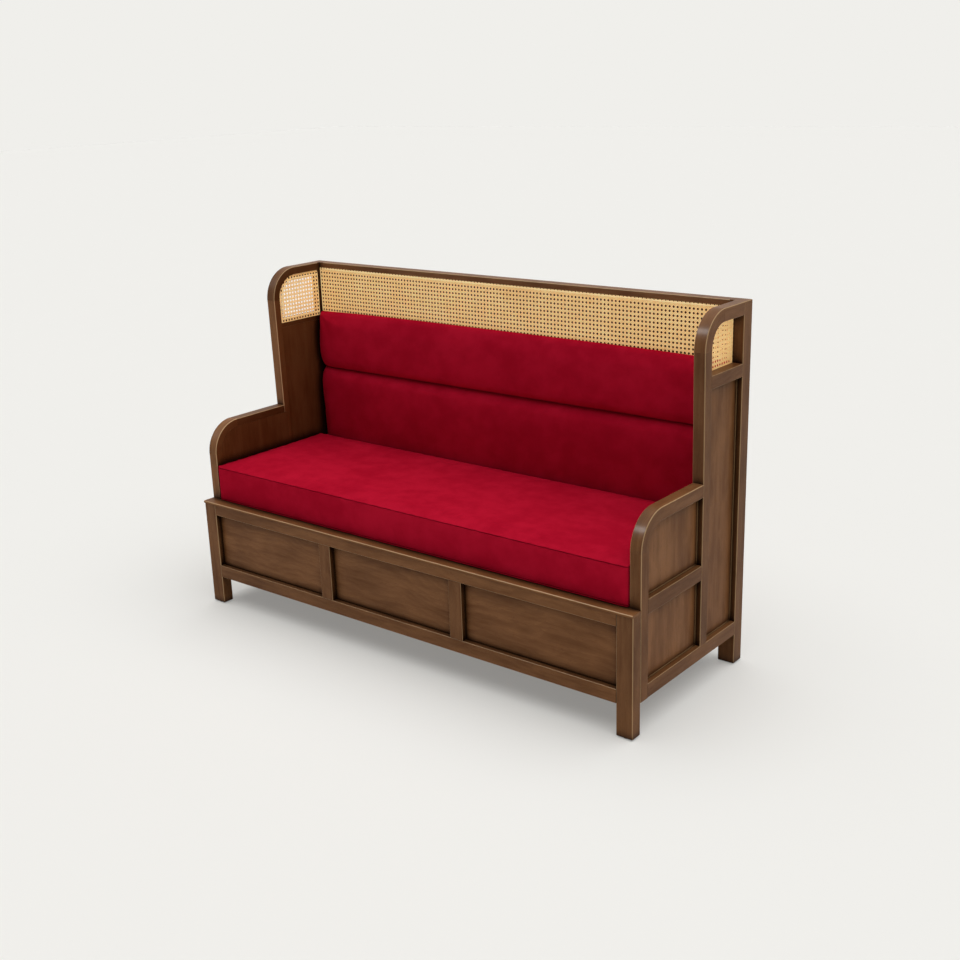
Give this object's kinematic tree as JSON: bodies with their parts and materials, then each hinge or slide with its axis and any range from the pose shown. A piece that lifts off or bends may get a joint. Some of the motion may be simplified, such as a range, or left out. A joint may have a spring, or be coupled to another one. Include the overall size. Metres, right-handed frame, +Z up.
{
  "type": "settle",
  "caption": "Settle with winged ends and rounded corners, a cane band along the top of its back, a padded back, a loose boxed seat cushion and a panelled base on short feet.",
  "frame": {"origin": "on the floor, under the middle of the outline seen from above", "axes": "+X along the length, to the right of someone who faces the front; +Y from the front to the back; +Z up"},
  "size_m": [1.65, 0.599, 1.065],
  "materials": {
    "stained_oak": "walnut-brown stain under a satin lacquer, open grain",
    "plain_board": "plain unstained board, out of sight",
    "cane": "natural woven cane, satin",
    "velvet": "short-pile crimson velvet over foam",
    "screw_steel": "zinc-plated countersunk screws",
    "glide_plastic": "dark nylon"
  },
  "bodies": {
    "settle": {"arm_corner_left": "stained_oak", "arm_corner_right": "stained_oak", "arm_lower_panel_left": "stained_oak", "arm_lower_panel_right": "stained_oak", "arm_mid_rail_left": "stained_oak", "arm_mid_rail_right": "stained_oak", "arm_stile_left": "stained_oak", "arm_stile_right": "stained_oak", "arm_top_rail_left": "stained_oak", "arm_top_rail_right": "stained_oak", "arm_upper_panel_left": "stained_oak", "arm_upper_panel_right": "stained_oak", "back_board": "stained_oak", "back_cane": "cane", "back_mid_rail": "stained_oak", "back_pad": "velvet", "back_seat_rail": "stained_oak", "back_top_rail": "stained_oak", "base_back_panel": "stained_oak", "cane_board": "stained_oak", "cane_rail_left": "stained_oak", "cane_rail_right": "stained_oak", "deck_cleat_left": "plain_board", "deck_cleat_right": "plain_board", "deck_screws": "screw_steel", "front_beads": "stained_oak", "front_bottom_rail": "stained_oak", "front_leg_left": "stained_oak", "front_leg_right": "stained_oak", "front_muntin_left": "stained_oak", "front_muntin_right": "stained_oak", "front_panel_left": "stained_oak", "front_panel_middle": "stained_oak", "front_panel_right": "stained_oak", "front_top_rail": "stained_oak", "glides": "glide_plastic", "panel_beads_left": "stained_oak", "panel_beads_right": "stained_oak", "rear_bottom_rail": "stained_oak", "rear_post_left": "stained_oak", "rear_post_right": "stained_oak", "seat_bearer_left": "plain_board", "seat_bearer_middle": "plain_board", "seat_bearer_right": "plain_board", "seat_deck": "plain_board", "seat_nosing": "stained_oak", "side_bottom_rail_left": "stained_oak", "side_bottom_rail_right": "stained_oak", "wing_cane_left": "cane", "wing_cane_right": "cane", "wing_corner_left": "stained_oak", "wing_corner_right": "stained_oak", "wing_panel_left": "stained_oak", "wing_panel_right": "stained_oak", "wing_stile_left": "stained_oak", "wing_stile_right": "stained_oak", "wing_top_rail_left": "stained_oak", "wing_top_rail_right": "stained_oak"},
    "cushion": {"seat_cushion": "velvet"}
  },
  "joints": [
    {"name": "seat_cushion_lift", "type": "slide", "parent": "settle", "child": "cushion", "axis": [0, 0, 1], "range_m": [0, 0.72]}
  ]
}
